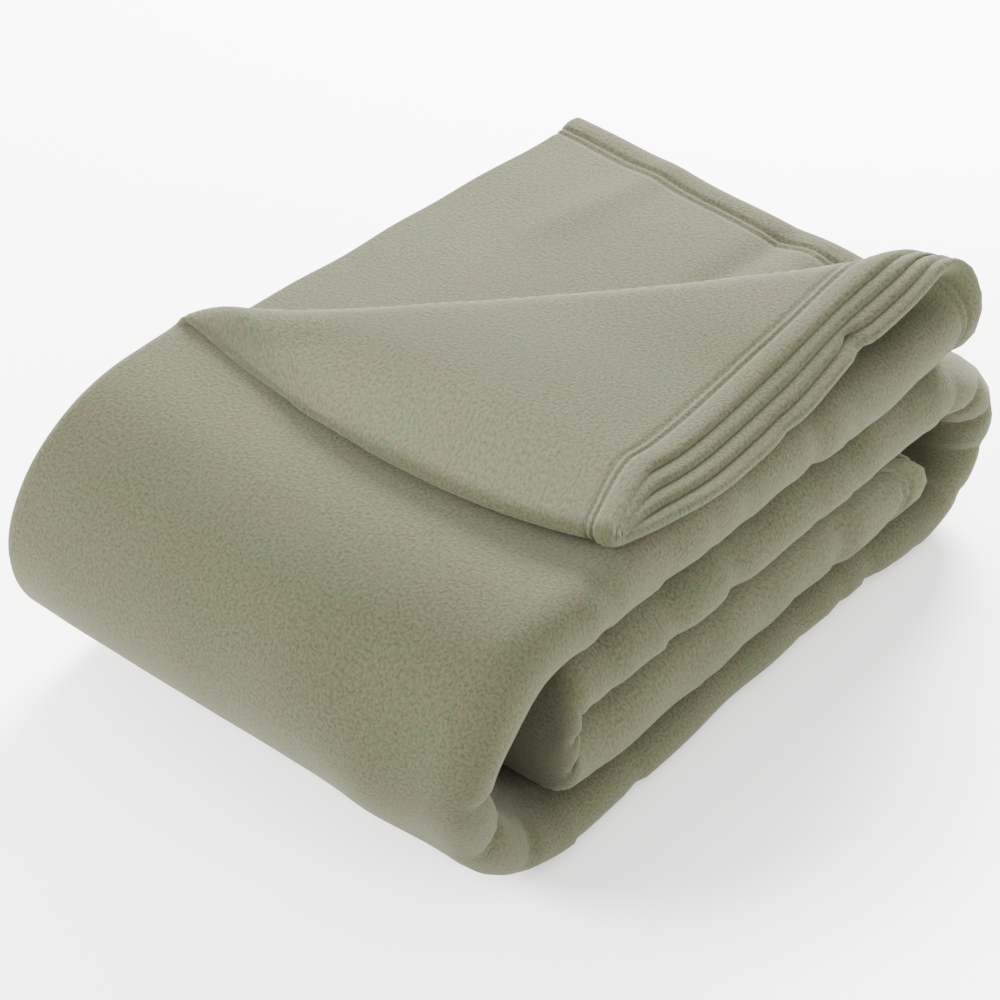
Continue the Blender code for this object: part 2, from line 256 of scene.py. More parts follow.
def build_grid(cloth, spacing=0.0055, hem=0.026, fine=0.0011, crease_steps=8):
    """The folded cloth: both its faces, its flat coordinates, and what each point belongs to."""
    rows = place_rows(spacing, hem, fine)
    columns = place_columns(spacing, hem, fine, crease_steps)
    grid = Grid()
    grid.leaf = np.array([row[0] for row in rows])
    outward = np.array([row[1] for row in rows])[:, None, :]
    inward = np.array([row[2] for row in rows])[:, None, :]
    grid.share = np.array([row[3] for row in rows])[:, None]
    panel, across, ply, span, angle, side = (np.array(c)[None, :] for c in zip(*columns))

    # Across the strip, each crease is half an ellipse, as deep as its leaf is thick
    thickness = np.linalg.norm(outward - inward, axis=-1)
    nose = np.minimum(NOSE_PLIES * thickness / PLIES, NOSE_DEEPEST)
    loose = LOOSE_PLIES * np.minimum(thickness / PLIES, LOOSE_DEEPEST)
    left = -HALF_WIDTH + np.where((ply > HEMMED_PLIES) & (side == 0), 0, loose)
    x = left + (HALF_WIDTH - nose - left) * across
    x = x + np.where(side > 0, np.sin(angle) * nose * span / WIDEST_CREASE, 0)
    x = x - np.where(side < 0, np.sin(angle) * loose * span / LOOSE_PLIES, 0)
    place = outward + (inward - outward) * ((ply[..., None] + 0.5) / PLIES)
    shape = (len(rows), len(columns))
    x, y, z = (np.broadcast_to(v, shape).copy() for v in (x, place[..., 0], place[..., 1]))
    grid.ply = np.broadcast_to(ply, shape)

    from_end, from_start = hem_distances(grid, shape)
    y = shape_ends(grid, x, y, from_end, from_start, hem)
    edge = np.minimum(from_end, from_start)
    side_edge = np.where((ply > HEMMED_PLIES) & (side == 0), across * STRIP, NO_HEM)
    grid.end_edge = np.broadcast_to(edge, shape)
    grid.side_edge = np.broadcast_to(side_edge, shape)
    grid.edge = np.minimum(grid.end_edge, grid.side_edge)

    # The same points on the cloth laid out flat, in metres
    middle = (outward + inward)[:, 0, :] / 2
    lengths = [np.linalg.norm(np.diff(line, axis=0), axis=1) for line in (outward[:, 0], middle)]
    travelled = np.concatenate([[0], np.cumsum(np.maximum(*lengths))])
    grid.position = np.stack([x, y, z], -1)
    steps = np.linalg.norm(np.diff(grid.position, axis=1), axis=-1).mean(0)
    flat_x = np.concatenate([[0], np.cumsum(steps)])[None, :]
    grid.flat = np.stack([np.broadcast_to(flat_x, shape), np.broadcast_to(travelled[:, None], shape)], -1)
    gather_turns(grid)
    press_turn(grid)
    wander_leaves(grid)
    fold_corner(grid)
    pucker(grid)
    settle(grid)
    thicken(grid, cloth)
    split_parts(grid)
    return grid


def hem_distances(grid, shape):
    """How far each row lies from the top leaf's end, and from the inner leaf's."""
    is_top = (grid.leaf == "top")[:, None]
    is_inner = (grid.leaf == "inner")[:, None]
    from_end = np.where(is_top, (1 - grid.share) * (TOP_END_Y - FRONT_TURN_Y), NO_HEM)
    from_start = np.where(is_inner, grid.share * (INNER_END_Y - INNER_TURN_Y), NO_HEM)
    return np.broadcast_to(from_end, shape), np.broadcast_to(from_start, shape)


def shape_ends(grid, x, y, from_end, from_start, hem):
    """Y of each point, with the strip's two ends drawn to their lines and everything between them eased."""
    top_length = TOP_END_Y - FRONT_TURN_Y
    inner_length = INNER_END_Y - INNER_TURN_Y
    lower_end = LOWER_END_Y - (x + HALF_WIDTH) * LOWER_END_SKEW - PLY_STEP * (grid.ply - CORNER_PLIES)
    corner_end = CORNER_END_Y + CORNER_END_AT_CREASE * smooth((x - 0.03) / 0.11)
    corner_end = corner_end + CORNER_END_AT_TIP * smooth((-0.105 - x) / 0.04)
    corner_end = corner_end - TIP_STEP * np.clip(grid.ply / 3, 0, 1) * smooth((-0.098 - x) / 0.045)
    lower = smooth(grid.ply - 3.0)
    end_y = corner_end * (1 - lower) + lower_end * lower
    drawn = np.clip((top_length - from_end) / (top_length - hem), 0, 1)
    y = np.where(from_end < NO_HEM, y + (end_y - TOP_END_Y) * drawn, y)
    tip = smooth(1 - (x + HALF_WIDTH) / TIP_SIZE) * smooth(1 - from_end / TIP_SIZE) * (1 - lower)
    y = y - TIP_ROUND * tip
    tongue = -TONGUE * np.abs((grid.ply - WIDEST_CREASE) / WIDEST_CREASE) ** 3.2
    drawn = np.clip((inner_length - from_start) / (inner_length - hem), 0, 1)
    return np.where(from_start < NO_HEM, y + tongue * drawn, y)


# Each creased turn's pleats: how many, where the first is, how deep, and where they start and end
PLEATS = (("back_turn", 6.0, 0.35, 0.0075, 0.05, 0.95),
          ("front_turn", 5.0, 0.2, 0.0100, 0.10, 0.62),
          ("inner_turn", 2.6, 0.55, 0.0060, 0.0, 1.0))
OUTER_PLEAT = 0.10  # the outermost ply's share of that depth
PLEAT_EASE = 0.12


def gather_turns(grid):
    """Pleats where the creased side goes round a turn: the inward plies have less way to go, and bunch up."""
    x = grid.position[..., 0]
    near = smooth((x - 0.080) / 0.055)
    inward = OUTER_PLEAT + (1 - OUTER_PLEAT) * smooth((grid.ply - 0.5) / 5.0)
    for leaf, pleats, first, depth, start, end in PLEATS:
        rows = (grid.leaf == leaf)[:, None]
        crimp = (1 - np.abs(np.sin((grid.share * pleats + first) * math.pi)) ** 0.7) ** 1.5
        window = smooth((grid.share - start) / PLEAT_EASE) * smooth((end - grid.share) / PLEAT_EASE)
        x = x - np.where(rows, depth * crimp * window * near * inward, 0)
    grid.position[..., 0] = x


PRESS_BACK = 0.0068  # the front turn's lower half, toward the back
PRESS_BACK_CREASE = 0.0090  # the same at the crease, a little higher up
PRESS_UP = 0.0044
BOTTOM_CREASE_IN = 0.0040
TOP_LOOSE_IN = 0.0075


def press_turn(grid):
    """Draws in the front turn's lower half, the bottom leaf's crease, and the top leaf's loose side."""
    x, y, z = (grid.position[..., i] for i in range(3))
    front = (grid.leaf == "front_turn")[:, None]
    low = bell((grid.share - 0.25) / 0.17) * (1 - smooth((x - 0.07) / 0.07))
    y = y + np.where(front, PRESS_BACK * low, 0)
    high = bell((grid.share - 0.42) / 0.20) * smooth((x - 0.08) / 0.055)
    y = y + np.where(front, PRESS_BACK_CREASE * high, 0)
    z = z + np.where(front, PRESS_UP * low, 0)
    bottom = (grid.leaf == "bottom")[:, None]
    inside = smooth((y - FRONT_TURN_Y) / 0.05) * smooth((BACK_TURN_Y - y) / 0.05)
    x = x - np.where(bottom, BOTTOM_CREASE_IN * smooth((x - 0.09) / 0.04) * inside, 0)
    top = (grid.leaf == "top")[:, None]
    x = x + np.where(top, TOP_LOOSE_IN * smooth((y - 0.06) / 0.13) * smooth((-0.02 - x) / 0.11), 0)
    grid.position = np.stack([x, y, z], -1)


# How far each leaf's creased edge wanders up and down, and how far any of them wanders in
WANDER_LIFTS = (("inner", 0.0016), ("middle", 0.0018), ("bottom", 0.0006), ("top", 0.0010))
WANDER_IN = 0.0012
WANDER_DENT = 0.0030


def wander_leaves(grid):
    """The creased edge of each leaf wanders in and out and up and down, with a few sharper dents."""
    x, y, z = (grid.position[..., i].copy() for i in range(3))
    near = smooth((x - 0.085) / 0.055)
    for number, (leaf, lift) in enumerate(WANDER_LIFTS):
        rows = (grid.leaf == leaf)[:, None]
        line = np.stack([y, 0.3 * x], -1)
        gentle = ripple(line, 0.055, 20 + number)
        dents = np.maximum(ripple(line, 0.030, 30 + number) - 0.35, 0)
        x = x - np.where(rows, near * (WANDER_IN * gentle + WANDER_DENT * dents), 0)
        z = z + np.where(rows, near * lift * ripple(line, 0.045, 40 + number), 0)
    grid.position = np.stack([x, y, z], -1)


def crest_offset(along):
    """How far the corner's fold lies behind Y = X, along its own length."""
    return CREST_OFFSET + CREST_OFFSET_LOOSE * smooth((-0.08 - along) / 0.14)


def crest_inside(along):
    """Inside radius of the corner's roll: tight at the loose side, open at the crease."""
    tight = 0.0005 * (1 - smooth((along + 0.17) / 0.10))
    return CREST_INSIDE - tight + CREST_INSIDE_CREASE * np.clip(along / 0.19, 0, 1.2) ** 1.35


def fold_corner(grid):
    """Turns the top leaf's upper plies back over a line at about 45 degrees."""
    x, y, z = (grid.position[..., i] for i in range(3))
    along = (x + y) * ROOT_HALF
    offset = crest_offset(along) * ROOT_HALF
    distance = (y - x) * ROOT_HALF - offset
    depth = np.clip(TOP_LEAF[0] - z, 0, None)
    inside = crest_inside(along)
    radius = np.maximum(inside + depth, 1e-4)
    angle = np.clip(distance / radius, 0, math.pi)
    beyond = np.maximum(distance - math.pi * radius, 0)

    # The plies lie level at the corner's front edge, and step back one by one at its hem
    from_front = x + HALF_WIDTH
    stepped = smooth(from_front / 0.038)
    longer = math.pi * (depth - PLY / 2) * (0.9 - 1.1 * stepped)
    slack = longer * smooth(beyond / 0.09)
    drawn_back = 2.65 * np.maximum(beyond - 0.10, 0) ** 2
    reach = beyond + slack - drawn_back
    across = np.where(distance > 0, radius * np.sin(angle) - reach, distance) + offset
    settled = smooth(beyond / 0.13)
    height = TOP_LEAF[0] + inside - radius * np.cos(angle) - 2 * inside * settled

    # The front edge rounds over, and the roll is pressed flat at the loose side
    edge_round = 0.40 * (1 - smooth((from_front - 0.002) / 0.042)) * smooth(beyond / 0.02)
    flat = CREST_FLAT * (1 - smooth((along + 0.12) / 0.15))
    above = np.maximum(height - TOP_LEAF[0], 0)
    height = height - above * (1 - (1 - edge_round) * (1 - flat))
    height = height + FRONT_LIFT * smooth(1 - from_front / 0.045) * smooth((beyond - 0.03) / 0.05)
    upper_ply = (grid.leaf == "top")[:, None] & (grid.ply < UPPER_PLIES)
    weight = np.where(distance > 0, upper_ply, 0)
    grid.turned = np.where(upper_ply, distance / radius, -1)
    turned = np.stack([(along - across) * ROOT_HALF, (along + across) * ROOT_HALF, height], -1)
    grid.position = grid.position + (turned - grid.position) * weight[..., None]


# Soft folds on the top leaf: the X and Y of each one's ends, its half width and its height
SOFT_FOLDS = (((0.045, 0.175), (0.055, 0.120), 0.0085, 0.0028),
              ((0.066, 0.172), (0.074, 0.140), 0.0075, -0.0018),
              ((0.026, 0.182), (0.020, 0.120), 0.0080, -0.0022),
              ((-0.060, 0.192), (-0.075, 0.110), 0.0120, 0.0014))
# Dents in the corner's hem: each one's X and Y, its half width and its depth
HEM_DENTS = (((0.132, 0.094), 0.006, 0.006), ((0.140, 0.030), 0.008, 0.002))


def pucker(grid):
    """Soft folds on the top leaf, and dents in the hem of the turned-back corner."""
    place = grid.position
    on_top = (grid.leaf == "top")[:, None] * (1 - smooth((grid.turned - 2.0) / 1.1)) * (grid.turned < 2.2)
    for start, end, half_width, height in SOFT_FOLDS:
        start, end = np.array(start), np.array(end)
        way = end - start
        share = ((place[..., :2] - start) @ way) / (way @ way)
        aside = np.abs(np.cross(way, place[..., :2] - start)) / np.linalg.norm(way)
        window = smooth((share + 0.35) / 0.5) * smooth((1.35 - share) / 0.5)
        place[..., 2] += np.where(on_top > 0, height * bell(aside / half_width) * window, 0)
    for (x, y), half_width, depth in HEM_DENTS:
        near = bell(np.hypot(place[..., 0] - x, place[..., 1] - y) / half_width)
        hem = (grid.turned > math.pi) * (grid.ply < 1.6)
        place[..., 0] -= np.where(hem, depth * near, 0)
    grid.position = place


def settle(grid):
    """A soft warp of the whole bundle, so that no edge is ruled, and the leaves' sag toward the crease."""
    place = grid.position
    lift = smooth(place[..., 2] / 0.05)
    slow = np.stack([ripple(place, 0.22, 1) * 0.0020,
                     ripple(place, 0.22, 2) * 0.0020,
                     ripple(place, 0.20, 3) * 0.0016 * lift], -1)
    quick = np.stack([ripple(place, 0.055, 4) * 0.0007,
                      ripple(place, 0.055, 5) * 0.0007,
                      ripple(place, 0.060, 6) * 0.0005 * lift], -1)
    place = place + slow + quick

    # Toward the crease, the inner leaves sag and the top leaf's plies spread
    height = place[..., 2]
    sag = bell((height - SAG_HEIGHT) / np.where(height > SAG_HEIGHT, SAG_REACH_UP, SAG_REACH_DOWN))
    place[..., 2] -= SAG * sag * smooth((place[..., 0] - 0.03) / 0.08)
    shoulder = bell((place[..., 0] + 0.15) / 0.09) * bell((place[..., 1] + 0.10) / 0.07)
    place[..., 2] *= 1 + SHOULDER * shoulder
    grid.position = place


def normals_of(points):
    """Unit normals of a grid of points."""
    normal = np.cross(np.gradient(points, axis=1), np.gradient(points, axis=0))
    return normal / np.maximum(np.linalg.norm(normal, axis=-1, keepdims=True), 1e-12)


def thicken(grid, cloth):
    """The cloth's two faces: double in the hems, pinched at the stitches, round at the edges."""
    seams = (cloth.first_seam, cloth.second_seam)
    half = np.full(grid.edge.shape, cloth.thickness / 2)
    half = half + (1 - smooth((grid.edge - seams[1]) / 0.002)) * (cloth.hem_thickness - cloth.thickness) / 2
    half = half + cloth.hem_roll * bell((grid.edge - 0.0065) / 0.0050)
    for seam in seams:
        half = half - cloth.seam_dip * bell((grid.edge - seam) / cloth.seam_width)
    rim = np.clip(grid.edge / cloth.edge_round, 0, 1)
    grid.half = half * np.sqrt(np.maximum(1 - (1 - rim) ** 2, 0))
    normal = normals_of(grid.position)
    grid.upper = grid.position + normal * grid.half[..., None]
    grid.lower = grid.position - normal * grid.half[..., None]
    grid.upper_normal = normals_of(grid.upper)
    grid.lower_normal = -normals_of(grid.lower)


ROLL, FRONT, TOP, CORNER, FIRST_ROLL_PLY = range(5)


def split_parts(grid):
    """Which piece each of the grid's cells belongs to."""
    rows, columns = grid.edge.shape
    leaf = np.repeat(grid.leaf[1:, None], columns - 1, 1)
    corners = [grid.turned[:-1, :-1], grid.turned[1:, :-1], grid.turned[:-1, 1:], grid.turned[1:, 1:]]
    least, most = np.minimum.reduce(corners), np.maximum.reduce(corners)
    ply = np.clip(np.round((grid.ply[:-1, :-1] + grid.ply[1:, 1:]) / 2), 0, CORNER_PLIES - 1).astype(int)
    part = np.full(leaf.shape, ROLL)
    part[leaf == "front_turn"] = FRONT
    part[leaf == "top"] = TOP
    part[(leaf == "top") & (least >= math.pi)] = CORNER
    rolled = (leaf == "top") & (most > 0) & (least < math.pi)
    part[rolled] = FIRST_ROLL_PLY + ply[rolled]
    grid.part = part


def new_mesh_object(name, points, faces, sides):
    """A mesh object from arrays. Each face has the same number of sides."""
    mesh = bpy.data.meshes.new(name)
    mesh.vertices.add(len(points))
    mesh.vertices.foreach_set("co", points.astype(np.float32).ravel())
    mesh.loops.add(faces.size)
    mesh.loops.foreach_set("vertex_index", faces.astype(np.int32).ravel())
    mesh.polygons.add(len(faces))
    mesh.polygons.foreach_set("loop_start", np.arange(len(faces), dtype=np.int32) * sides)
    mesh.polygons.foreach_set("use_smooth", np.ones(len(faces), bool))
    mesh.update(calc_edges=True)
    obj = bpy.data.objects.new(name, mesh)
    bpy.context.scene.collection.objects.link(obj)
    return obj


def cloth_piece(name, grid, chosen, material):
    """One piece of the cloth from the grid's chosen cells: both faces, and its cut edges closed."""
    rows, columns = grid.edge.shape
    count = rows * columns
    index = np.arange(count).reshape(rows, columns)
    cells = np.stack([index[:-1, :-1], index[:-1, 1:], index[1:, 1:], index[1:, :-1]], -1)[chosen]
    ends = np.concatenate([cells[:, [i, (i + 1) % 4]] for i in range(4)])
    _, first, uses = np.unique(np.sort(ends, axis=1), axis=0, return_index=True, return_counts=True)
    cut = ends[first[uses == 1]]
    open_cut = (grid.half.ravel()[cut] > 1e-7).any(axis=1)
    walls = np.stack([cut[:, 1], cut[:, 0], cut[:, 0] + count, cut[:, 1] + count], -1)[open_cut]
    faces = np.concatenate([cells, cells[:, ::-1] + count, walls])
    twin = np.arange(2 * count)
    rim = (grid.half < 1e-7).ravel()
    twin[count:][rim] = twin[:count][rim]
    used, packed = np.unique(twin[faces], return_inverse=True)
    points = np.concatenate([grid.upper.reshape(-1, 3), grid.lower.reshape(-1, 3)])[used]
    normals = np.concatenate([grid.upper_normal.reshape(-1, 3), grid.lower_normal.reshape(-1, 3)])[used]
    flat = np.tile(grid.flat.reshape(-1, 2), (2, 1))
    obj = new_mesh_object(name, points, packed.reshape(faces.shape), 4)
    layer = obj.data.uv_layers.new(name="cloth")
    layer.data.foreach_set("uv", flat[faces.ravel()].astype(np.float32).ravel())
    obj.data.validate()
    obj.data.normals_split_custom_set_from_vertices(normals.astype(np.float32))
    obj.data.materials.append(material)
    corners = grid.flat.reshape(-1, 2)[cells]
    diagonals = corners[:, 2] - corners[:, 0], corners[:, 3] - corners[:, 1]
    obj["flat_area"] = float(np.abs(np.cross(*diagonals)).sum() / 2)
    return obj


def linear(code):
    """A linear colour from an sRGB hex code."""
    values = [int(code[i:i + 2], 16) / 255 for i in (1, 3, 5)]
    return (*[v / 12.92 if v <= 0.04045 else ((v + 0.055) / 1.055) ** 2.4 for v in values], 1)


def add_node(tree, kind, settings, links):
    """Adds one shader node: its settings by name, and its links as (input, output socket)."""
    node = tree.nodes.new(kind)
    for name, value in settings.items():
        if name in node.inputs:
            node.inputs[name].default_value = value
        else:
            setattr(node, name, value)
    for name, source in links:
        tree.links.new(source, node.inputs[name])
    return node


def new_material(name, settings):
    """A material with a Principled shader whose constant values are set on its own sockets."""
    material = bpy.data.materials.new(name)
    material.use_nodes = True
    shader = material.node_tree.nodes["Principled BSDF"]
    for socket, value in settings.items():
        shader.inputs[socket].default_value = value
    return material, material.node_tree, shader


def fleece_material(finish):
    """Brushed polyester fleece, heather dyed: the nap is raised from a knit of two near shades.

    Sage and taupe show as flecks about as wide as a tuft. The brushed tufts leave shallow hollows between
    them, which the bump sinks and where shade is painted into the colour, drawn a little coarser than the real
    pile so that they show. The nap has no gloss, and its fine ends catch the light at the cloth's turned
    edges, which is its sheen.
    """
    name = "brushed polyester fleece"
    if name in bpy.data.materials:
        return bpy.data.materials[name]
    material, tree, shader = new_material(name, {
        "Roughness": 1.0,
        "Specular IOR Level": 0.12,
        "Sheen Weight": 0.14,
        "Sheen Roughness": 0.45,
        "Sheen Tint": tuple(finish.sheen),
    })
    flat = add_node(tree, "ShaderNodeUVMap", {"uv_map": "cloth"}, []).outputs["UV"]

    def noise(width, detail, roughness):
        settings = {"Scale": 1 / width, "Detail": detail, "Roughness": roughness}
        return add_node(tree, "ShaderNodeTexNoise", settings, [("Vector", flat)]).outputs["Fac"]

    def remap(source, low, high, to_low, to_high):
        settings = {"From Min": low, "From Max": high, "To Min": to_low, "To Max": to_high}
        return add_node(tree, "ShaderNodeMapRange", settings, [("Value", source)]).outputs["Result"]

    def mix(kind, factor, first, second):
        return add_node(tree, "ShaderNodeMixRGB", {"blend_type": kind},
                        [("Fac", factor), ("Color1", first), ("Color2", second)]).outputs["Color"]

    def shade(colour):
        node = add_node(tree, "ShaderNodeRGB", {}, [])
        node.outputs[0].default_value = tuple(colour)
        return node.outputs[0]

    flecks = noise(finish.fleck_width, 3.0, 0.6)
    tufts = noise(finish.tuft_width, 4.0, 0.7)
    brushed = noise(finish.brush_width, 2.0, 0.5)
    heather = mix("MIX", remap(flecks, 0.38, 0.64, 0.0, 1.0), shade(finish.sage), shade(finish.taupe))
    worn = mix("MIX", remap(brushed, 0.35, 0.70, 0.0, 0.55), heather, shade(finish.taupe))
    # Painted shade: the colour darkens toward the hollow shade where the tuft noise, and so the bump, is low
    painted_hollow_shade = mix("MIX", remap(tufts, 0.32, 0.58, 0.75, 0.0), worn, shade(finish.hollow_shade))
    tree.links.new(painted_hollow_shade, shader.inputs["Base Color"])
    bump = add_node(tree, "ShaderNodeBump", {"Strength": 0.85, "Distance": finish.tuft_height},
                    [("Height", tufts)])
    tree.links.new(bump.outputs["Normal"], shader.inputs["Normal"])
    return material


def thread_material(finish):
    """Spun polyester sewing thread, dyed to the fleece: smoother than the nap, with a faint lustre."""
    name = "spun polyester thread"
    if name in bpy.data.materials:
        return bpy.data.materials[name]
    material, tree, shader = new_material(name, {"Roughness": 0.62, "Specular IOR Level": 0.3})
    place = add_node(tree, "ShaderNodeTexCoord", {}, []).outputs["Object"]
    twist = add_node(tree, "ShaderNodeTexNoise", {"Scale": 1 / finish.twist_pitch, "Detail": 1.0},
                     [("Vector", place)]).outputs["Fac"]
    # Painted shade: the thread darkens in small patches along its twist, toward the fleece's painted hollow
    # shade
    tint = add_node(tree, "ShaderNodeValToRGB", {}, [("Fac", twist)])
    tint.color_ramp.elements[0].color = tuple(finish.hollow_shade)
    tint.color_ramp.elements[1].color = tuple(finish.thread)
    tree.links.new(tint.outputs["Color"], shader.inputs["Base Color"])
    return material


def sewn_lines(grid, cloth):
    """Each row of stitches, on each face: (points, normals, the part that each point is in)."""
    faces = ((grid.upper, grid.upper_normal), (grid.lower, grid.lower_normal))
    last_row, last_column = (n - 1 for n in grid.part.shape)
    lines = []
    for seam in (cloth.first_seam, cloth.second_seam):
        for leaf in ("inner", "top"):
            gap = np.abs(grid.end_edge[:, 0] - seam) + NO_HEM * (grid.leaf != leaf)
            row = int(np.argmin(gap))
            part = grid.part[min(row, last_row)]
            lines += [(points[row], normals[row], part) for points, normals in faces]
        for half in (slice(0, last_column // 2), slice(last_column // 2, last_column)):
            column = half.start + int(np.argmin(np.abs(grid.side_edge[0, half] - seam)))
            part = grid.part[:, min(column, last_column)]
            lines += [(points[:, column], normals[:, column], part) for points, normals in faces]
    return lines


def stitches(points, normals, part, cloth):
    """The ends of each stitch along a line, the way it faces, and its part."""
    travelled = np.concatenate([[0], np.cumsum(np.linalg.norm(np.diff(points, axis=0), axis=1))])
    pitch = cloth.stitch_length + cloth.stitch_gap
    middles = np.arange(cloth.seam_start, travelled[-1] - cloth.seam_start, pitch)

    def at(ways, values):
        return np.stack([np.interp(ways, travelled, values[:, i]) for i in range(3)], -1)

    half = cloth.stitch_length / 2
    cell = np.clip(np.searchsorted(travelled, middles) - 1, 0, len(part) - 1)
    return at(middles - half, points), at(middles + half, points), at(middles, normals), part[cell]


def stitch_mesh(name, start, end, normal, cloth, material):
    """Stitches as short threads of three sides, full in the middle and sinking into the nap at both ends."""
    way = end - start
    way /= np.maximum(np.linalg.norm(way, axis=1, keepdims=True), 1e-9)
    aside = np.cross(way, normal)
    sunk = cloth.thread / 2
    rings = []
    for share in (0.2, 0.8):
        middle = start + (end - start) * share
        for turn in range(3):
            angle = 2 * math.pi * turn / 3 + math.pi / 2
            rings.append(middle + sunk * (aside * math.cos(angle) + normal * math.sin(angle)))
    points = np.stack([start - normal * sunk, *rings, end - normal * sunk], 1).reshape(-1, 3)
    faces = []
    for turn in range(3):
        following = (turn + 1) % 3
        near, next_near, far, next_far = 1 + turn, 1 + following, 4 + turn, 4 + following
        faces += [(0, next_near, near), (near, next_near, next_far),
                  (near, next_far, far), (7, far, next_far)]
    faces = (np.array(faces)[None] + 8 * np.arange(len(start))[:, None, None]).reshape(-1, 3)
    obj = new_mesh_object(name, points, faces, 3)
    obj.data.materials.append(material)
    return obj


FOLDED = {}
PIECES = {ROLL: "blanket_roll", FRONT: "blanket_front_turn", TOP: "blanket_top_leaf",
          CORNER: "blanket_corner"}
for ply_number in range(CORNER_PLIES):
    PIECES[FIRST_ROLL_PLY + ply_number] = f"blanket_corner_roll_{ply_number + 1}"


def folded(scene):
    """The folded cloth's grid, worked out once for each set of sizes."""
    cloth = scene.blanket_cloth
    key = tuple(getattr(cloth, name) for name in cloth.__annotations__)
    if key not in FOLDED:
        FOLDED[key] = build_grid(cloth)
    return FOLDED[key]


ABOVE_FLAT = 0.0015
BELOW_TURNED = 0.0005
SHORTEST_BEND = 0.001


def roll_span(grid, part):
    """Where one ply's bend starts and ends: just above its flat part, and just below its turned part."""
    cells = grid.part == part
    near = np.zeros(grid.turned.shape, bool)
    for rows in (slice(None, -1), slice(1, None)):
        for columns in (slice(None, -1), slice(1, None)):
            near[rows, columns] |= cells
    flat = grid.position[near & (grid.turned <= 0) & (grid.turned > -1) & (grid.ply < UPPER_PLIES)]
    over = grid.position[near & (grid.turned >= math.pi)]
    slope = np.polyfit(flat[:, 0] + flat[:, 1], flat[:, 2], 1)[0]
    low = np.percentile(flat[:, 2] - slope * (flat[:, 0] + flat[:, 1]), 92)
    high = np.percentile(over[:, 2] - slope * (over[:, 0] + over[:, 1]), 8)
    low, high = min(low, high - SHORTEST_BEND) + ABOVE_FLAT, high - BELOW_TURNED
    way = np.array([-slope, -slope, 1.0])
    start = np.array([0, 0, low])
    return tuple(start), tuple(start + way * max(high - low, SHORTEST_BEND) / (way @ way))


def move_with(obj, part, grid):
    """Rides on the part's body; the front turn and the corner's roll plies stay baked in place, on no body."""
    if part == ROLL:
        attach(obj, "bundle")
    elif part == TOP:
        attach(obj, "top_leaf")
    elif part == CORNER:
        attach(obj, "corner")
    elif part == FRONT:
        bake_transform(obj)
    else:
        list(roll_span(grid, part))
        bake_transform(obj)


def make_cloth(scene, part, nodes):
    """Shows one part of the folded cloth, in place of its CAD nodes."""
    grid = folded(scene)
    name = PIECES[part]
    piece = cloth_piece(name, grid, grid.part == part, fleece_material(scene.blanket_finish))
    move_with(piece, part, grid)
    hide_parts(*nodes)
    return piece


def length_property(name, description, default, highest=0.1):
    """A size in metres."""
    return bpy.props.FloatProperty(name=name, description=description, default=default, min=0.0001,
                                   max=highest, precision=5, unit="LENGTH")


def power_property(name, default):
    """A soft box's power, in watts."""
    return bpy.props.FloatProperty(name=name, description="Power", default=default, min=0, unit="POWER")


def colour_property(name, description, code):
    """A colour, given as an sRGB hex code."""
    return bpy.props.FloatVectorProperty(name=name, description=description, default=linear(code), size=4,
                                         min=0, max=1, subtype="COLOR")


class BlanketCloth(bpy.types.PropertyGroup):
    """The cloth's own sizes, apart from where the CAD puts it."""

    thickness: length_property("Fleece", "From pile to pile", 0.0031)
    hem_thickness: length_property("Hem", "Two layers of fleece, sewn flat", 0.0048)
    hem_roll: length_property("Hem roll", "How much the hem's folded edge stands out", 0.0008)
    edge_round: length_property("Edge rounding", "How far the hem's folded edge rounds over", 0.0036)
    first_seam: length_property("First seam", "From the hem's edge to its first row of stitches", 0.0150)
    second_seam: length_property("Second seam", "From the hem's edge to its second row", 0.0192)
    seam_dip: length_property("Seam dip", "How deep each row of stitches pulls into the pile", 0.0017)
    seam_width: length_property("Seam width", "Half the width of that dip", 0.0016)
    seam_start: length_property("Seam start", "From the cloth's corner to the first stitch", 0.006)
    stitch_length: length_property("Stitch", "Length of thread that shows", 0.0030)
    stitch_gap: length_property("Stitch gap", "Between one stitch and the next", 0.0011)
    thread: length_property("Thread", "Its thickness", 0.0006)


class BlanketFinish(bpy.types.PropertyGroup):
    """Colours of the fleece and thread, and the scale of the pile."""

    sage: colour_property("Sage", "Main shade of the heather", "#36412b")
    taupe: colour_property("Taupe", "Second shade of the heather", "#423b2d")
    # Painted shade: the dark colour mixed into the pile between the tufts, and into the thread's twist
    hollow_shade: colour_property("Hollow", "Between the tufts", "#1d2217")
    sheen: colour_property("Sheen", "Tint of the fine ends", "#d9dcc8")
    thread: colour_property("Thread", "Sewing thread", "#3e4731")
    fleck_width: length_property("Fleck", "Width of a fleck", 0.0027)
    tuft_width: length_property("Tuft", "Width of a tuft", 0.0017)
    tuft_height: length_property("Tuft height", "Height of the pile's relief", 0.0011)
    brush_width: length_property("Brushing", "Width of the brushed patches", 0.045)
    twist_pitch: length_property("Twist", "One turn of the thread's twist", 0.0008)


class BlanketStudio(bpy.types.PropertyGroup):
    """The floor and the light."""

    floor: colour_property("Floor", "Pale studio floor", "#f7f7f5")
    sky: bpy.props.FloatProperty(name="Surround", description="Strength of the white surround", default=2.8,
                                 min=0)
    key_power: power_property("Key light", 260)
    fill_power: power_property("Fill light", 135)
    side_power: power_property("Side light", 70)
    key_width: bpy.props.FloatProperty(name="Key width", description="Width of the soft box", default=0.9,
                                       min=0.01, unit="LENGTH")


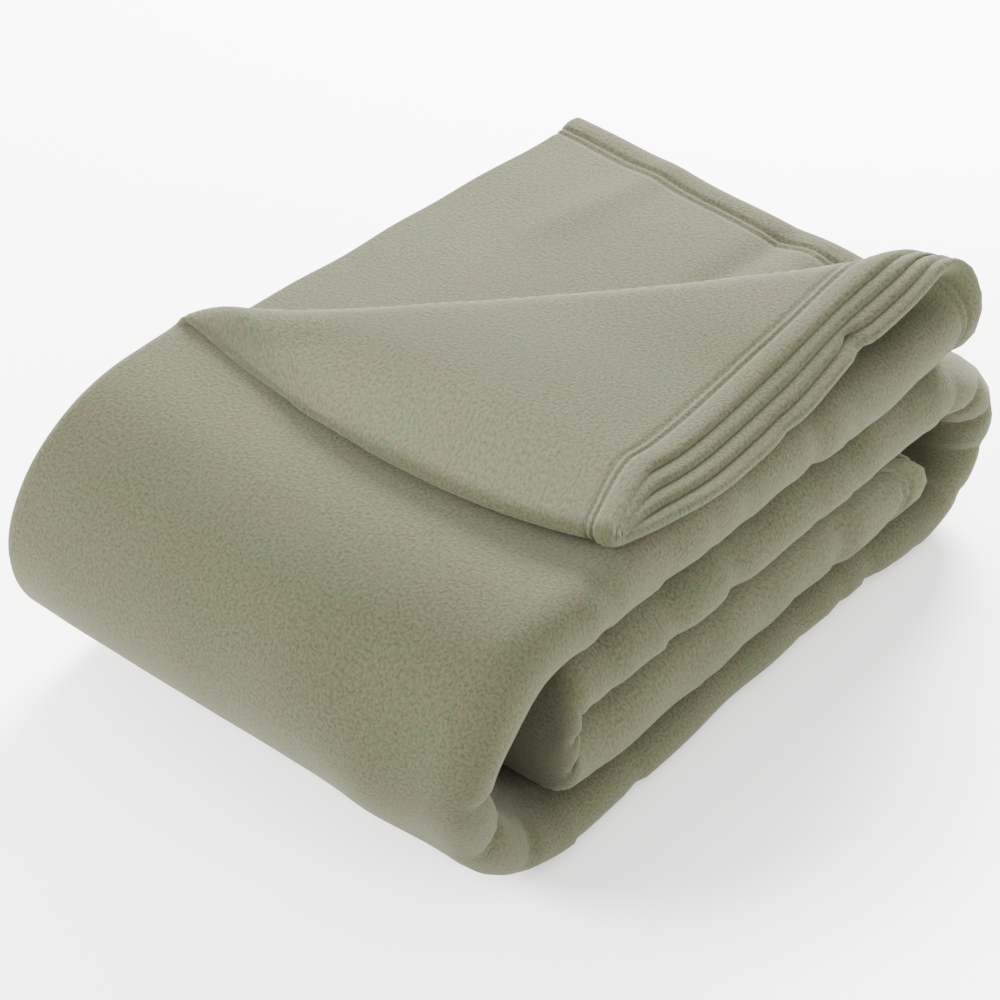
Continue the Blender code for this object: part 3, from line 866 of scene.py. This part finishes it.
class BLANKET_OT_stitching(bpy.types.Operator):
    """Sew two rows of stitches along each hem, on both faces"""

    bl_idname = "blanket.stitching"
    bl_label = "Stitching"
    bl_options = {"REGISTER", "UNDO"}

    def execute(self, context):
        cloth = context.scene.blanket_cloth
        grid = folded(context.scene)
        found = [stitches(*line, cloth) for line in sewn_lines(grid, cloth)]
        start, end, normal, part = (np.concatenate(values) for values in zip(*found))
        material = thread_material(context.scene.blanket_finish)
        for number, name in PIECES.items():
            own = part == number
            if own.any():
                piece = stitch_mesh(f"{name}_stitches", start[own], end[own], normal[own], cloth, material)
                move_with(piece, number, grid)
        return {"FINISHED"}


class BLANKET_OT_roll(bpy.types.Operator):
    """Lay the rolled leaves: the inner, middle and bottom leaves, with the inner turn and the back turn"""

    bl_idname = "blanket.roll"
    bl_label = "Rolled leaves"
    bl_options = {"REGISTER", "UNDO"}

    def execute(self, context):
        nodes = [n for n, o in frame["nodes"].items() if o["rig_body"] == "bundle" and n != "front_turn"]
        make_cloth(context.scene, ROLL, nodes)
        return {"FINISHED"}


class BLANKET_OT_front_turn(bpy.types.Operator):
    """Bend the front turn up from the bottom leaf to the top leaf"""

    bl_idname = "blanket.front_turn"
    bl_label = "Front turn"
    bl_options = {"REGISTER", "UNDO"}

    def execute(self, context):
        make_cloth(context.scene, FRONT, ["front_turn"])
        return {"FINISHED"}


class BLANKET_OT_top_leaf(bpy.types.Operator):
    """Lay the top leaf: four whole plies, and four that end at the corner's fold"""

    bl_idname = "blanket.top_leaf"
    bl_label = "Top leaf"
    bl_options = {"REGISTER", "UNDO"}

    def execute(self, context):
        nodes = [n for n, o in frame["nodes"].items() if o["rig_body"] == "top_leaf"]
        make_cloth(context.scene, TOP, nodes)
        return {"FINISHED"}


class BLANKET_OT_corner(bpy.types.Operator):
    """Turn back the corner's four plies, with the hem along the creased side"""

    bl_idname = "blanket.corner"
    bl_label = "Turned-back corner"
    bl_options = {"REGISTER", "UNDO"}

    def execute(self, context):
        nodes = [n for n, o in frame["nodes"].items() if o["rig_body"] == "corner" and n != "corner_roll"]
        make_cloth(context.scene, CORNER, nodes)
        return {"FINISHED"}


class BLANKET_OT_corner_roll(bpy.types.Operator):
    """Roll each of the corner's four plies over its fold"""

    bl_idname = "blanket.corner_roll"
    bl_label = "Corner's roll"
    bl_options = {"REGISTER", "UNDO"}

    def execute(self, context):
        for number in range(CORNER_PLIES):
            part = FIRST_ROLL_PLY + number
            make_cloth(context.scene, part, ["corner_roll"])
        return {"FINISHED"}


CAMERA_AZIMUTH = math.radians(40.53)
CAMERA_ELEVATION = math.radians(38.45)
CAMERA_DISTANCE = 1.4494
CAMERA_TARGET = (0.0114, -0.03, 0.0819)
CAMERA_LENS = 105.55
SENSOR_WIDTH = 36
LIGHT_TARGET = (0, 0, 0.1)
KEY_PLACE = (-0.65, 1.45, 0.95)
FILL_PLACE = (-1.0, -1.3, 1.0)
SIDE_PLACE = (1.9, 0.3, 0.45)


def add_camera():
    """A long lens, well above the bundle's front right corner and looking down on it."""
    back = Vector((math.sin(CAMERA_AZIMUTH), -math.cos(CAMERA_AZIMUTH), math.tan(CAMERA_ELEVATION)))
    back.normalize()
    data = bpy.data.cameras.new("camera")
    data.lens = CAMERA_LENS
    data.sensor_width = SENSOR_WIDTH
    obj = bpy.data.objects.new("camera", data)
    obj.location = Vector(CAMERA_TARGET) + back * CAMERA_DISTANCE
    obj.rotation_euler = back.to_track_quat("Z", "Y").to_euler()
    bpy.context.scene.collection.objects.link(obj)
    bpy.context.scene.camera = obj


def add_floor(studio):
    """A seamless pale sweep, painted matt."""
    bpy.ops.mesh.primitive_plane_add(size=12, location=(0, 0, 0))
    floor = bpy.context.object
    floor.name = "floor"
    material, tree, shader = new_material("matt painted floor", {"Roughness": 0.9, "Specular IOR Level": 0.2})
    place = add_node(tree, "ShaderNodeTexCoord", {}, []).outputs["Object"]
    grain = add_node(tree, "ShaderNodeTexNoise", {"Scale": 400.0, "Detail": 2.0}, [("Vector", place)])
    tint = add_node(tree, "ShaderNodeValToRGB", {}, [("Fac", grain.outputs["Fac"])])
    tint.color_ramp.elements[0].color = (*[0.98 * v for v in studio.floor[:3]], 1)
    tint.color_ramp.elements[1].color = tuple(studio.floor)
    tree.links.new(tint.outputs["Color"], shader.inputs["Base Color"])
    floor.data.materials.append(material)


def add_soft_box(name, power, width, location):
    """A round soft box, aimed at the bundle."""
    light = bpy.data.lights.new(name, "AREA")
    light.shape = "DISK"
    light.size = width
    light.energy = power
    obj = bpy.data.objects.new(name, light)
    obj.location = location
    obj.rotation_euler = (obj.location - Vector(LIGHT_TARGET)).to_track_quat("Z", "Y").to_euler()
    bpy.context.scene.collection.objects.link(obj)


class BLANKET_OT_stage(bpy.types.Operator):
    """Set the camera, the floor, the white surround and three soft boxes"""

    bl_idname = "blanket.stage"
    bl_label = "Stage"
    bl_options = {"REGISTER", "UNDO"}

    def execute(self, context):
        studio = context.scene.blanket_studio
        add_camera()
        add_floor(studio)
        world = bpy.data.worlds.new("studio")
        context.scene.world = world
        world.use_nodes = True
        surround = world.node_tree.nodes["Background"]
        surround.inputs["Color"].default_value = linear("#ffffff")
        surround.inputs["Strength"].default_value = studio.sky
        add_soft_box("key", studio.key_power, studio.key_width, KEY_PLACE)
        add_soft_box("fill", studio.fill_power, studio.key_width, FILL_PLACE)
        add_soft_box("side", studio.side_power, studio.key_width, SIDE_PLACE)
        return {"FINISHED"}


STEPS = (BLANKET_OT_stitching, BLANKET_OT_roll, BLANKET_OT_front_turn, BLANKET_OT_top_leaf, BLANKET_OT_corner,
         BLANKET_OT_corner_roll, BLANKET_OT_stage)


class BLANKET_PT_panel(bpy.types.Panel):
    """The blanket's pieces, sizes and colours"""

    bl_idname = "BLANKET_PT_panel"
    bl_label = "Camp blanket"
    bl_space_type = "VIEW_3D"
    bl_region_type = "UI"
    bl_category = "Camp blanket"

    def draw(self, context):
        column = self.layout.column()
        scene = context.scene
        for group in (scene.blanket_cloth, scene.blanket_finish, scene.blanket_studio):
            for name in group.__annotations__:
                column.prop(group, name)
            column.separator()
        for step in STEPS:
            column.operator(step.bl_idname)


CLASSES = (BlanketCloth, BlanketFinish, BlanketStudio, *STEPS, BLANKET_PT_panel)


def register():
    for cls in CLASSES:
        bpy.utils.register_class(cls)
    bpy.types.Scene.blanket_cloth = bpy.props.PointerProperty(type=BlanketCloth)
    bpy.types.Scene.blanket_finish = bpy.props.PointerProperty(type=BlanketFinish)
    bpy.types.Scene.blanket_studio = bpy.props.PointerProperty(type=BlanketStudio)


def unregister():
    del bpy.types.Scene.blanket_studio
    del bpy.types.Scene.blanket_finish
    del bpy.types.Scene.blanket_cloth
    for cls in reversed(CLASSES):
        bpy.utils.unregister_class(cls)


def main():
    register()
    bpy.ops.blanket.stitching()
    bpy.ops.blanket.roll()
    bpy.ops.blanket.front_turn()
    bpy.ops.blanket.top_leaf()
    bpy.ops.blanket.corner()
    bpy.ops.blanket.corner_roll()
    bpy.ops.blanket.stage()


if __name__ == "__main__":
    main()
